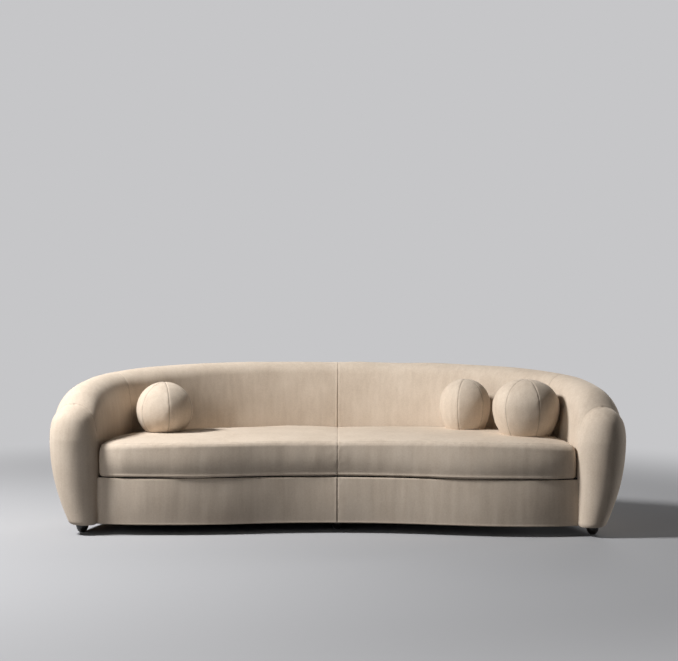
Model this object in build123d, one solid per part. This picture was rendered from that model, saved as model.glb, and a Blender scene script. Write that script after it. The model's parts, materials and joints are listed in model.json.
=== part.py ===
from build123d import *
import math
import os

# A crescent sofa in pale nubuck leather: a rolled wall (back, corners, arms) on a plywood frame, a sprung
# seat deck with one bench cushion, turned feet and three ball pillows. Millimetres, +Z up, the front faces
# -Y, and the origin is on the floor under the middle of the sofa's box.

# Plan of the wall, followed along its ridge from the middle of the back to the end of an arm
back_radius = 1690.0
back_sweep = 37.3
corner_radius = 448.0
arm_sweep = 77.7
arm_length = 290.0
back_spans = 14
corner_spans = 4
arm_stations = (0.3, 0.55, 0.72, 0.84, 0.93, 1.0)

# Section of the wall, measured from its ridge: half widths inside and outside, and the roll on top
wall_half = 120.0
belly_half = 112.0
back_roll = 80.0
arm_roll = 107.0
roll_start = 500.0
knee_height = 420.0
belly_height = 457.0
belly_tuck = 110.0

# Ridge: level along the back, a slow fall round the corner and a steep shoulder at the arm's end
back_height = 778.0
arm_height = 606.5
back_fall = 93.0
fall_start = 447.0
fall_power = 2.14
shoulder_power = 24.0

# Arm fronts
nose_reach = 118.0
nose_tuck = 35.0
nose_steps = 6
nose_dome = (5, 17, 29, 41, 52, 62, 71, 79, 85)

# Heights of the base
foot_height = 50.0
hem_drop = 2.0
plinth_height = 42.0
plinth_width = 62.0
plinth_set = 14.0
rail_top = 252.0
deck_height = 262.0
deck_thickness = 11.7

# Layers of the upholstery
leather = 2.0
fit_gap = 0.3
rib_gap = 0.8
inside_foam = 40.0
outside_foam = 12.0
web_thickness = 1.5
seam_gap = 0.5
front_pad = 10.0

# Timber
rib_thickness = 18.0
rail_thickness = 25.0
top_rail_width = 40.0
top_rail_depth = 32.0
spring_rail_depth = 60.0
beam_width = 60.0
cross_rail_width = 30.0
cross_rail_offset = 470.0
back_rib_stations = (2, 6, 10)

# Front rail, bowed back in the middle and forward in a lobe in each half, with a rounder end at the arm
front_setback = 143.0
front_bow = 95.0
front_lobe = 900.0
front_end_radius = 800.0
front_run_out = 350.0
front_rise = 6.0
well_gap = 2.0

# Seat cushion
cushion_overhang = 6.0
cushion_bow = 97.0
cushion_lobe = 880.0
cushion_edge = 433.0
cushion_back_edge = 447.0
cushion_crown = 454.0
cushion_end_fall = 8.0
cushion_draw = 8.0
corner_setback = 40.0
cushion_corner = 160.0
cushion_gap = 0.3
cushion_side_gap = 2.0
cushion_back_steps = 12
cushion_corner_steps = 6

# Springs
wire = 4.0
spring_pitch = 150.0
spring_count = 11
spring_loop = 24.0
spring_step = 34.0
spring_bend = 14.5
clip_width = 34.0
clip_sheet = 1.5

# Feet and their fastenings
foot_top_radius = 29.0
foot_tip_radius = 17.0
foot_collar = 10.0
foot_belly_radius = 27.0
foot_belly_height = 20.0
foot_neck_radius = 15.0
foot_neck = 5.0
glide_radius = 12.0
glide_height = 4.0
bolt_diameter = 8.0
bolt_length = 76.0
bolt_in_foot = 26.0
bolt_clearance = 0.2
nut_flange_radius = 11.0
nut_flange = 1.5
nut_barrel_radius = 5.2
nut_barrel_length = 12.0
front_foot_back = 32.0
centre_foot_back = 136.0
rear_foot_back = 78.0
foot_inset = 31.0
foot_room = 1.0
dust_lap = 6.0
screw_diameter = 4.5
screw_length = 60.0
screw_head_radius = 4.5
screw_head_height = 4.0
screw_clearance = 0.2

# Webbing in the back
web_rows = (290.0, 370.0, 450.0)
web_width = 50.0

# Ball pillows: place along the wall, room between the widest ring and the foot of the wall's inside face
# (below zero where the ball leans over it), radius, height above and below the widest ring, radius of the flat
balls = {
    "left_ball": (-1102.0, 1.0, 144.0, 144.0, 102.0, 96.0),
    "small_right_ball": (787.0, -2.0, 133.0, 133.0, 127.0, 97.0),
    "large_right_ball": (1418.0, -9.0, 165.0, 134.0, 142.0, 119.0),
}
ball_gores = 6
gore_groove = 3.0
gore_depth = 1.2
gore_stop = 12.0

# Values worked out from the sizes above
back_run = back_radius * math.radians(back_sweep)
corner_run = back_run + corner_radius * math.radians(arm_sweep - back_sweep)
arm_run = corner_run + arm_length
crease_run = (back_run + corner_run) / 2
hem = foot_height - hem_drop
nose_half = (wall_half + belly_half) / 2
plinth_top = foot_height + plinth_height
foam_face = leather + fit_gap
foam_back = foam_face + inside_foam
web_face = foam_back + fit_gap
rib_inner = web_face + web_thickness + rib_gap
wadding_back = foam_face + outside_foam
rib_outer = wadding_back + rib_gap
deck_top = deck_height + fit_gap + deck_thickness
cushion_bottom = deck_top + cushion_gap

ridge_fall = back_radius * (1 - math.cos(math.radians(back_sweep)))
corner_fall = corner_radius * (math.cos(math.radians(back_sweep)) - math.cos(math.radians(arm_sweep)))
arm_fall = arm_length * math.sin(math.radians(arm_sweep))
ridge_y = (ridge_fall + corner_fall + arm_fall + nose_reach - belly_half) / 2
arm_tip_y = ridge_y - ridge_fall - corner_fall - arm_fall - nose_reach


def ridge(run):
    """Point of the ridge in plan, and the turn of the path there in radians."""
    if run < 0:
        x, y, turn = ridge(-run)
        return -x, y, -turn
    first = math.radians(back_sweep)
    if run <= back_run:
        turn = run / back_radius
        return back_radius * math.sin(turn), ridge_y - back_radius * (1 - math.cos(turn)), turn
    x = back_radius * math.sin(first)
    y = ridge_y - ridge_fall
    turn = min(first + (run - back_run) / corner_radius, math.radians(arm_sweep))
    x += corner_radius * (math.sin(turn) - math.sin(first))
    y -= corner_radius * (math.cos(first) - math.cos(turn))
    ahead = max(run - corner_run, 0.0)
    return x + ahead * math.cos(turn), y - ahead * math.sin(turn), turn


def plan_point(run, out):
    """Point in plan that lies outside the ridge by out."""
    x, y, turn = ridge(run)
    return x + out * math.sin(turn), y + out * math.cos(turn)


def station(run):
    """Upright plane across the wall: its x axis points outwards and its y axis up."""
    x, y, turn = ridge(run)
    return Plane(
        origin=(x, y, 0),
        x_dir=(math.sin(turn), math.cos(turn), 0),
        z_dir=(math.cos(turn), -math.sin(turn), 0),
    )


def crown_height(run):
    """Height of the ridge: level along the back, then falling to the arm."""
    share = max(abs(run) - fall_start, 0.0) / (arm_run - fall_start)
    shoulder = back_height - back_fall - arm_height
    return back_height - back_fall * share**fall_power - shoulder * share**shoulder_power


def roll_radius(run):
    """Radius of the roll on top of the wall, fuller towards the arm."""
    share = min(max(abs(run) - roll_start, 0.0) / (arm_run - roll_start), 1.0)
    return back_roll + (arm_roll - back_roll) * share**2 * (3 - 2 * share)


class WallSection:
    """Outline of the wall at one station, moved inwards by an inset: tangent arcs about fixed centres."""

    def __init__(self, run, inset):
        self.top = crown_height(run)
        roll = roll_radius(run)
        self.roll_z = self.top - roll
        self.roll = roll - inset
        above_knee = self.roll_z - knee_height
        above_belly = self.roll_z - belly_height
        inner = (wall_half**2 + above_knee**2 - roll**2) / (2 * (wall_half - roll))
        outer = (belly_half**2 + above_belly**2 - roll**2) / (2 * (belly_half - roll))
        lower = (belly_tuck**2 + (belly_height - hem) ** 2) / (2 * belly_tuck)
        self.inset = inset
        self.inner_x, self.inner = inner - wall_half, inner - inset
        self.outer_x, self.outer = belly_half - outer, outer - inset
        self.lower_x, self.lower = belly_half - lower, lower - inset
        self.inner_end = math.atan2(above_knee, -self.inner_x)
        self.outer_end = math.atan2(above_belly, -self.outer_x)
        self.lower_end = -math.asin((belly_height - hem) / self.lower)
        self.knee = (inset - wall_half, knee_height)
        self.belly = (belly_half - inset, belly_height)
        self.crown = (0.0, self.top - inset)

    def on_inner(self, angle):
        return (
            self.inner_x + self.inner * math.cos(angle),
            knee_height + self.inner * math.sin(angle),
        )

    def on_roll(self, angle):
        return (self.roll * math.cos(angle), self.roll_z + self.roll * math.sin(angle))

    def on_outer(self, angle):
        return (
            self.outer_x + self.outer * math.cos(angle),
            belly_height + self.outer * math.sin(angle),
        )

    def on_lower(self, angle):
        return (
            self.lower_x + self.lower * math.cos(angle),
            belly_height + self.lower * math.sin(angle),
        )

    def inside_line(self, low):
        """Edges from the inside foot, over the roll, to where the roll meets the outside."""
        start = self.on_roll(self.inner_end)
        end = self.on_roll(self.outer_end)
        return [
            Line((self.knee[0], low), self.knee),
            ThreePointArc(self.knee, self.on_inner((math.pi + self.inner_end) / 2), start),
            ThreePointArc(start, self.crown, end),
        ]

    def outside_line(self, gap):
        """Edges from just under the roll, round the belly, to the hem."""
        begin = self.outer_end - gap / self.outer
        return [
            ThreePointArc(self.on_outer(begin), self.on_outer(begin / 2), self.belly),
            ThreePointArc(self.belly, self.on_lower(self.lower_end / 2), self.on_lower(self.lower_end)),
        ]

    def inner_reach(self, height):
        """Distance from the ridge to the inside face at a height."""
        if height <= knee_height:
            return wall_half - self.inset
        if height <= self.on_roll(self.inner_end)[1]:
            return math.sqrt(self.inner**2 - (height - knee_height) ** 2) - self.inner_x
        return math.sqrt(max(self.roll**2 - (height - self.roll_z) ** 2, 0.0))

    def outer_reach(self, height):
        """Distance from the ridge to the outside face at a height."""
        if height <= belly_height:
            return math.sqrt(self.lower**2 - (height - belly_height) ** 2) + self.lower_x
        if height <= self.on_roll(self.outer_end)[1]:
            return math.sqrt(self.outer**2 - (height - belly_height) ** 2) + self.outer_x
        return math.sqrt(max(self.roll**2 - (height - self.roll_z) ** 2, 0.0))


def ends(edges):
    """First and last point of a chain of edges."""
    return edges[0] @ 0, edges[-1] @ 1


def closed_band(face_line, back_line):
    """Face between two chains of edges that run the same way."""
    first, last = ends(face_line)
    back_first, back_last = ends(back_line)
    return Face(Wire([*face_line, Line(last, back_last), *back_line, Line(back_first, first)]))


def inside_layer(runs, face_inset, back_inset):
    """Layer of the inside face and roll, lofted along the wall."""
    sections = []
    for run in runs:
        face_line = WallSection(run, face_inset).inside_line(deck_height)
        back_line = WallSection(run, back_inset).inside_line(deck_height)
        sections.append(station(run) * closed_band(face_line, back_line))
    return loft(sections, ruled=True)


def outside_layer(runs, face_inset, back_inset):
    """Layer of the outside face, lofted along the wall."""
    sections = []
    for run in runs:
        face_line = WallSection(run, face_inset).outside_line(seam_gap)
        back_line = WallSection(run, back_inset).outside_line(seam_gap)
        sections.append(station(run) * closed_band(face_line, back_line))
    return loft(sections, ruled=True)


def spread(first, last, count):
    """Evenly spaced values from first to last."""
    return [first + (last - first) * k / count for k in range(count + 1)]


def nose_slice(section, height, behind):
    """Level slice of an arm front, a round end that starts behind the end of the arm by behind."""
    x, y, turn = ridge(arm_run)
    inner = section.inner_reach(height)
    outer = section.outer_reach(height)
    half = (inner + outer) / 2
    middle = (outer - inner) / 2
    below = max(belly_height - height, 0.0) / (belly_height - hem)
    if below:
        reach = nose_reach - section.inset - nose_tuck * below**2
    else:
        reach = half * nose_reach / nose_half
    radius = (half**2 + reach**2) / (2 * reach)
    lean = math.atan2(reach - radius, half)
    quarter = (math.pi / 2 - lean) / 2 + lean
    side = (radius * math.cos(quarter), reach - radius + radius * math.sin(quarter))
    left, right, tip = (-inner, 0.0), (outer, 0.0), (middle, reach)
    edges = [
        ThreePointArc(left, (middle - side[0], side[1]), tip),
        ThreePointArc(tip, (middle + side[0], side[1]), right),
    ]
    if behind:
        edges += [
            Line(right, (outer, -behind)),
            Line((outer, -behind), (-inner, -behind)),
            Line((-inner, -behind), left),
        ]
    else:
        edges.append(Line(right, left))
    plane = Plane(
        origin=(x, y, height),
        x_dir=(math.sin(turn), math.cos(turn), 0),
        z_dir=(0, 0, -1),
    )
    return plane * Face(Wire(edges))


def nose(inset, low, behind=0.0):
    """Solid arm front from its hem to its dome."""
    section = WallSection(arm_run, inset)
    heights = [low, *spread(plinth_top, belly_height, nose_steps)]
    heights.append((belly_height + section.roll_z) / 2)
    heights += [section.roll_z + section.roll * math.sin(math.radians(angle)) for angle in nose_dome]
    return loft([nose_slice(section, height, behind) for height in heights], ruled=True)


def plan_strip(runs, low_out, high_out):
    """Face in plan between two offsets of the ridge, through a list of runs that split it into arcs."""
    edges = []
    for out in (low_out, high_out):
        chain = []
        for a, b in zip(runs, runs[1:]):
            if a >= corner_run - 1e-6:
                chain.append(Line(plan_point(a, out), plan_point(b, out)))
            else:
                middle = plan_point((a + b) / 2, out)
                chain.append(ThreePointArc(plan_point(a, out), middle, plan_point(b, out)))
        edges.append(chain)
    return closed_band(*edges)


def upright(face, low, high):
    """Solid of a plan face between two heights."""
    return Pos(0, 0, low) * extrude(face, high - low, dir=(0, 0, 1))


def mirrored(shape):
    return mirror(shape, about=Plane.YZ)


front_y = arm_tip_y + front_setback
front_reach = front_lobe + front_run_out
front_top = deck_height + front_rise


def bow_arcs(offset):
    """Front line in plan: hollow in the middle, a lobe in each half, round ends, moved back by offset."""
    turn = 2 * math.atan2(front_bow, front_lobe)
    radius = front_lobe / (2 * math.sin(turn))
    hollow = radius + offset
    centre = front_y - radius
    tip_y = front_y - front_bow

    def on_swell(size, angle):
        swell = size - offset
        return (front_lobe + swell * math.sin(angle), tip_y + size - swell * math.cos(angle))

    far = math.asin(front_run_out / (front_end_radius - offset))
    right = [on_swell(radius, share * turn) for share in (-1.0, -0.5, 0.0)]
    right += [on_swell(front_end_radius, share * far) for share in (0.5, 1.0)]
    left = [(-x, y) for x, y in reversed(right)]
    return [
        ThreePointArc(*left[0:3]),
        ThreePointArc(*left[2:5]),
        ThreePointArc(left[4], (0.0, centre + hollow), right[0]),
        ThreePointArc(*right[0:3]),
        ThreePointArc(*right[2:5]),
    ]


def front_strip(near, far):
    """Face in plan of a layer of the front, between two offsets, cut to the well between the arms."""
    return closed_band(bow_arcs(near), bow_arcs(far)) & well_face(wall_half + well_gap)


def well_face(out):
    """Space in plan between the arms, out from the ridge of each."""
    ahead = plan_point(arm_run + 2 * nose_reach, -out)
    start = plan_point(corner_run, -out)
    turn_mid = plan_point((back_run + corner_run) / 2, -out)
    turn_end = plan_point(back_run, -out)
    right = [Line(ahead, start), ThreePointArc(start, turn_mid, turn_end)]
    rear = ThreePointArc(turn_end, plan_point(0.0, -out), (-turn_end[0], turn_end[1]))
    left = [
        ThreePointArc((-turn_end[0], turn_end[1]), (-turn_mid[0], turn_mid[1]), (-start[0], start[1])),
        Line((-start[0], start[1]), (-ahead[0], ahead[1])),
    ]
    return Face(Wire([*right, rear, *left, Line((-ahead[0], ahead[1]), ahead)]))


def seat_face(near, out):
    """Plan of the seat deck: behind the front line by near, and out from the ridge of the wall."""
    front = bow_arcs(near)
    left, right = ends(front)
    far = ridge_y
    behind = [Line(right, (right.X, far)), Line((right.X, far), (left.X, far)), Line((left.X, far), left)]
    return Face(Wire([*front, *behind])) & well_face(out)


# The inside of the wall: leather covers, split at the centre seam, the corner creases and the arm ends
back_runs = spread(0.0, back_run, back_spans) + spread(back_run, crease_run, corner_spans)[1:]
arm_runs = spread(crease_run, corner_run, corner_spans)
arm_runs += [corner_run + arm_length * share for share in arm_stations]
outside_runs = back_runs + arm_runs[1:]

parts = {}


def add_pair(name, right):
    parts[name + "_right"] = right
    parts[name + "_left"] = mirrored(right)


add_pair("inside_back_cover", inside_layer(back_runs, 0.0, leather))
add_pair("inside_arm_cover", inside_layer(arm_runs, 0.0, leather))
add_pair("outside_cover", outside_layer(outside_runs, 0.0, leather))
add_pair("arm_front_cover", nose(0.0, hem) - nose(leather, hem - leather, behind=leather))

# Foam under the covers
add_pair("back_foam", inside_layer(back_runs, foam_face, foam_back))
add_pair("arm_foam", inside_layer(arm_runs, foam_face, foam_back))
add_pair("outside_wadding", outside_layer(outside_runs, foam_face, wadding_back))
add_pair("arm_front_foam", nose(foam_face, foot_height))

# Front of the base: rail, padding and a cover in two halves
pad_near = leather + fit_gap
rail_near = pad_near + front_pad + fit_gap
rail_far = rail_near + rail_thickness
front_cover = upright(front_strip(0.0, leather), hem, front_top)
half_space = Pos(front_reach, front_y, front_top) * Box(2 * front_reach, 2 * front_reach, 2 * front_top)
parts["front_rail_cover_right"] = front_cover & half_space
parts["front_rail_cover_left"] = mirrored(parts["front_rail_cover_right"])
parts["front_rail_pad"] = upright(front_strip(pad_near, pad_near + front_pad), foot_height, front_top)
front_rail = upright(front_strip(rail_near, rail_far), foot_height, rail_top)

# Plinth rails under the wall, and rails inside it at deck level
rear_strip = plan_strip([-back_run, back_run], -plinth_width, -plinth_set)
rear_plinth = upright(rear_strip, foot_height, plinth_top)
side_plinth = upright(
    plan_strip([back_run, corner_run, arm_run], -plinth_width, -plinth_set), foot_height, plinth_top
)
spring_out = wall_half - rib_inner + fit_gap
spring_in = spring_out + rail_thickness
spring_rail = upright(
    plan_strip([-back_run, back_run], -spring_in, -spring_out), rail_top - spring_rail_depth, rail_top
)
side_rail_face = plan_strip([back_run, corner_run, arm_run], -spring_in, -spring_out)
side_rail = upright(side_rail_face, rail_top - spring_rail_depth, rail_top)


# Ribs, arm front boards and the rail on top of them
def rail_height(run):
    """Underside of the top rail."""
    cavity = roll_radius(run) - foam_back
    shoulder = cavity - math.sqrt(cavity**2 - (top_rail_width / 2) ** 2)
    return crown_height(run) - foam_back - shoulder - 2 * fit_gap - top_rail_depth


def rib_face(run, top):
    """Plywood rib that fills the wall between its foams, from the plinth to the top rail."""
    inner = WallSection(run, rib_inner)
    outer = WallSection(run, rib_outer)
    inside = inner.inside_line(plinth_top)
    step_angle = inner.outer_end - (seam_gap + rib_gap) / inner.outer
    under_roll = inner.on_outer(step_angle)
    step = outer.on_outer(step_angle)
    low_angle = -math.asin((belly_height - plinth_top) / outer.lower)
    low = outer.on_lower(low_angle)
    edges = [
        *inside,
        Line(ends(inside)[1], under_roll),
        Line(under_roll, step),
        ThreePointArc(step, outer.on_outer(step_angle / 2), outer.belly),
        ThreePointArc(outer.belly, outer.on_lower(low_angle / 2), low),
        Line(low, (inner.knee[0], plinth_top)),
    ]
    window = Pos(0, top / 2) * Rectangle(4 * wall_half, top)
    return Face(Wire(edges)) & window


def rib(run, before, after):
    """Rib that reaches before and after its station along the path."""
    low_run = run + after
    top = min(rail_height(run - before), rail_height(low_run)) - fit_gap
    face = station(run) * rib_face(low_run, top)
    _, _, turn = ridge(run)
    ahead = Vector(math.cos(turn), -math.sin(turn), 0)
    return extrude(face, before + after, dir=-ahead).moved(Location(ahead * after))


def top_rail(runs):
    sections = []
    for run in runs:
        low = rail_height(run)
        face = Pos(0, low + top_rail_depth / 2) * Rectangle(top_rail_width, top_rail_depth)
        sections.append(station(run) * face.face())
    return loft(sections, ruled=True)


rib_half = rib_thickness / 2
back_rib_runs = [back_runs[k] for k in back_rib_stations] + [crease_run]
back_ribs = [rib(run, rib_half, rib_half) for run in back_rib_runs]
back_ribs += [mirrored(shape) for shape in back_ribs]
arm_rib = rib(corner_run, rib_half, rib_half)
arm_board = rib(arm_run, rib_thickness, 0.0)
add_pair("top_rail", top_rail(outside_runs))

# Cross rails from the front rail to the plinth, the middle one carrying the middle front foot
rail_room = seat_face(rail_far + fit_gap, plinth_width + fit_gap)
centre_beam = upright(rail_room & Rectangle(beam_width, 2 * front_reach), foot_height, plinth_top)
cross_strip = Pos(cross_rail_offset, 0) * Rectangle(cross_rail_width, 2 * front_reach)
cross_rail = upright(rail_room & cross_strip, foot_height, plinth_top)

# Feet: places in plan, then the turned foot, its glide, bolt and tee nut
front_foot = plan_point(arm_run - front_foot_back, -foot_inset)
rear_foot = plan_point(back_run - rear_foot_back, -foot_inset)
foot_places = {
    "front_left_foot": (-front_foot[0], front_foot[1]),
    "front_right_foot": front_foot,
    "front_centre_foot": (0.0, front_y + centre_foot_back),
    "rear_left_foot": (-rear_foot[0], rear_foot[1]),
    "rear_right_foot": rear_foot,
    "rear_centre_foot": (0.0, ridge_y - foot_inset),
}


def turned_foot():
    """Bullet foot with a narrower neck, which clears the hem around it, and a hole for its bolt."""
    belly = (foot_belly_radius, foot_belly_height)
    collar_low = foot_height - foot_collar
    shoulder = foot_height - foot_neck
    outline = [
        Line((0, glide_height), (foot_tip_radius, glide_height)),
        ThreePointArc((foot_tip_radius, glide_height), belly, (foot_top_radius, collar_low)),
        Line((foot_top_radius, collar_low), (foot_top_radius, shoulder)),
        Line((foot_top_radius, shoulder), (foot_neck_radius, shoulder)),
        Line((foot_neck_radius, shoulder), (foot_neck_radius, foot_height)),
        Line((foot_neck_radius, foot_height), (0, foot_height)),
        Line((0, foot_height), (0, glide_height)),
    ]
    turned = revolve(Plane.XZ * Face(Wire(outline)), Axis.Z)
    hole_radius = bolt_diameter / 2 + bolt_clearance
    hole = Cylinder(hole_radius, bolt_in_foot, align=(Align.CENTER, Align.CENTER, Align.MAX))
    return turned - Pos(0, 0, foot_height) * hole


def on_feet(shape):
    """Copies of a shape at all feet."""
    return Compound([Pos(*place, 0) * shape for place in foot_places.values()])


upward = (Align.CENTER, Align.CENTER, Align.MIN)
downward = (Align.CENTER, Align.CENTER, Align.MAX)
nut_hole = Cylinder(nut_barrel_radius + bolt_clearance, 4 * plinth_height, align=upward)
foot_holes = on_feet(Pos(0, 0, foot_height) * nut_hole)
glide = Cylinder(glide_radius, glide_height, align=upward)
bolt_low = foot_height - bolt_in_foot
bolt = Pos(0, 0, bolt_low) * Cylinder(bolt_diameter / 2, bolt_length, align=upward)
barrel = Pos(0, 0, plinth_top) * Cylinder(nut_barrel_radius, nut_barrel_length, align=downward)
flange = Pos(0, 0, plinth_top) * Cylinder(nut_flange_radius, nut_flange, align=upward)
nut_bore = Pos(0, 0, bolt_low) * Cylinder(bolt_diameter / 2 + bolt_clearance, 2 * bolt_length, align=upward)
tee_nut = (barrel + flange) - nut_bore

for name, place in foot_places.items():
    parts[name] = Pos(place[0], place[1], 0) * turned_foot()
parts["foot_glides"] = on_feet(glide)
parts["foot_bolts"] = on_feet(bolt)
parts["tee_nuts"] = on_feet(tee_nut)

# Screws that hold the ribs on the plinth from below
screw_axis_out = -(plinth_width + plinth_set) / 2
screw_runs = [*back_rib_runs, corner_run, arm_run - rib_half]
screw_places = [plan_point(side * run, screw_axis_out) for run in screw_runs for side in (1, -1)]
screw_shank = Pos(0, 0, foot_height) * Cylinder(screw_diameter / 2, screw_length, align=upward)
screw_head = Pos(0, 0, foot_height) * Cylinder(screw_head_radius, screw_head_height, align=upward)
screw_room = Pos(0, 0, foot_height) * Cylinder(
    screw_diameter / 2 + screw_clearance, screw_length + screw_clearance, align=upward
)
screw_room += Pos(0, 0, foot_height) * Cylinder(
    screw_head_radius + screw_clearance, screw_head_height + screw_clearance, align=upward
)
parts["frame_screws"] = Compound([Pos(*place, 0) * (screw_shank + screw_head) for place in screw_places])
screw_holes = Compound([Pos(*place, 0) * screw_room for place in screw_places])

parts["front_rail"] = front_rail
parts["rear_plinth_rail"] = (rear_plinth - foot_holes) - screw_holes
add_pair("plinth_rail", (side_plinth - foot_holes) - screw_holes)
parts["rear_spring_rail"] = spring_rail
add_pair("side_deck_rail", side_rail)
parts["back_ribs"] = Compound([shape - screw_holes for shape in back_ribs])
add_pair("arm_rib", arm_rib - screw_holes)
add_pair("arm_front_board", arm_board - screw_holes)
parts["centre_beam"] = centre_beam - foot_holes
add_pair("cross_rail", cross_rail)


# Sinuous springs from the front rail to the rear spring rail, with a clip at each end
def front_line_y(x):
    """Height in plan of the front line at x."""
    turn = 2 * math.atan2(front_bow, front_lobe)
    radius = front_lobe / (2 * math.sin(turn))
    if abs(x) < front_lobe / 2:
        return front_y - radius + math.sqrt(radius**2 - x**2)
    return front_y - front_bow + radius - math.sqrt(radius**2 - (abs(x) - front_lobe) ** 2)


def rear_line_y(x):
    """Inner face of the rear spring rail at x."""
    radius = back_radius - spring_in
    return ridge_y - back_radius + math.sqrt(radius**2 - x**2)


spring_z = rail_top + clip_sheet + wire / 2 + fit_gap / 2


def seat_spring(x):
    """Zigzag wire between its two end bars."""
    begin = front_line_y(x) + rail_near + rail_thickness / 2
    finish = rear_line_y(x) + rail_thickness / 2
    turns = 2 * round((finish - begin) / spring_step / 2) + 1
    step = (finish - begin) / turns
    points = []
    for k in range(turns + 1):
        side = spring_loop if k % 2 else -spring_loop
        y = begin + k * step
        row = [(x - side, y, spring_z), (x + side, y, spring_z)]
        points += row
    path = FilletPolyline(*points, radius=spring_bend)
    start = Plane(origin=path @ 0, z_dir=path % 0)
    return sweep(start * Circle(wire / 2), path)


def clip(y, toward):
    """Folded clip on a rail, open towards the spring."""
    reach = wire + 2 * fit_gap
    low = rail_top
    high = spring_z + wire / 2 + fit_gap / 2
    back = y - toward * (wire / 2 + fit_gap)
    front = y + toward * reach
    lip = y + toward * wire / 2
    outline = Polyline(
        (front, low),
        (front, low + clip_sheet),
        (back, low + clip_sheet),
        (back, high),
        (lip, high),
        (lip, high + clip_sheet),
        (back - toward * clip_sheet, high + clip_sheet),
        (back - toward * clip_sheet, low),
        close=True,
    )
    return extrude(Plane.YZ * make_face(outline), clip_width / 2, both=True)


spring_places = [spring_pitch * (k - (spring_count - 1) / 2) for k in range(spring_count)]
springs = []
clips = []
for x in spring_places:
    springs.append(seat_spring(x))
    front_seat = front_line_y(x) + rail_near + rail_thickness / 2
    rear_seat = rear_line_y(x) + rail_thickness / 2
    clips += [Pos(x, 0, 0) * clip(front_seat, 1), Pos(x, 0, 0) * clip(rear_seat, -1)]
parts["seat_springs"] = Compound(springs)
parts["spring_clips"] = Compound(clips)

# Webbing behind the back foam
web_axis = Axis((0, ridge_y - back_radius, 0), (0, 0, 1))


def web_strap(low):
    face = WallSection(0.0, web_face)
    back = WallSection(0.0, web_face + web_thickness)
    corners = [
        (-face.inner_reach(low), low),
        (-face.inner_reach(low + web_width), low + web_width),
        (-back.inner_reach(low + web_width), low + web_width),
        (-back.inner_reach(low), low),
    ]
    strap = station(-back_run) * make_face(Polyline(*corners, close=True))
    return revolve(strap, web_axis, -2 * back_sweep)


parts["back_webbing"] = Compound([web_strap(low) for low in web_rows])

# Deck pad over the springs and a dust cover under the frame
deck_low = deck_height + fit_gap
parts["deck_pad"] = upright(seat_face(rail_near, wall_half + well_gap), deck_low, deck_top)
nose_room = plan_strip([arm_run, arm_run + 2 * nose_reach], -wall_half - well_gap, wall_half)
dust_face = seat_face(rail_far - dust_lap, plinth_width - dust_lap) - nose_room - mirrored(nose_room)
foot_rooms = on_feet(Cylinder(foot_top_radius + foot_room, 3 * foot_height))
parts["dust_cover"] = upright(dust_face, foot_height - hem_drop / 2, foot_height) - foot_rooms


# Seat cushion: sections that fan out from the front line to the back, crowned, with drawn-in sides
def cushion_section(share, inset):
    """Upright section of the cushion, from the middle at 0 to the arm at 1 or -1."""
    side = -1.0 if share < 0 else 1.0
    part = abs(share)
    end_out = wall_half + cushion_side_gap + inset
    rear = plan_point(corner_run * part, -end_out)
    tip = plan_point(arm_run, -end_out)
    turn = 2 * math.atan2(cushion_bow, cushion_lobe)
    radius = cushion_lobe / (2 * math.sin(turn))
    x = tip[0] * part
    middle_y = front_y - cushion_overhang
    if x < cushion_lobe / 2:
        y = middle_y - radius + math.sqrt(radius**2 - x**2)
    else:
        y = middle_y - cushion_bow + radius - math.sqrt(radius**2 - (x - cushion_lobe) ** 2)
    y += corner_setback * max(1 - tip[0] * (1 - part) / cushion_corner, 0.0) ** 2 + inset
    if part == 1.0:
        x = tip[0] + (tip[1] - y) * (rear[0] - tip[0]) / (tip[1] - rear[1])
    span = math.hypot(rear[0] - x, rear[1] - y)
    fall = cushion_end_fall * part**4
    low = cushion_bottom + inset
    edge = cushion_edge - fall - inset
    crown = cushion_crown - fall - inset
    back = cushion_back_edge - fall - inset
    half_height = (low + edge) / 2
    points = [
        (cushion_draw, low),
        (0.0, half_height),
        (cushion_draw, edge),
        (span / 2, crown),
        (span - cushion_draw, back),
        (span, half_height),
        (span - cushion_draw, low),
    ]
    face = Face(
        Wire(
            [
                ThreePointArc(*points[0:3]),
                ThreePointArc(*points[2:5]),
                ThreePointArc(*points[4:7]),
                Line(points[6], points[0]),
            ]
        )
    )
    along = (side * (rear[0] - x), rear[1] - y, 0)
    across = (rear[1] - y, -side * (rear[0] - x), 0)
    return Plane(origin=(side * x, y, 0), x_dir=along, z_dir=across) * face


def cushion(inset):
    corner = back_run / corner_run
    half = spread(0.0, corner, cushion_back_steps) + spread(corner, 1.0, cushion_corner_steps)[1:]
    shares = [-share for share in reversed(half[1:])] + half
    return loft([cushion_section(share, inset) for share in shares], ruled=True)


seat_solid = cushion(0.0)
parts["seat_cushion_cover"] = seat_solid - cushion(leather)
parts["seat_cushion_core"] = cushion(leather + fit_gap)


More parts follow.
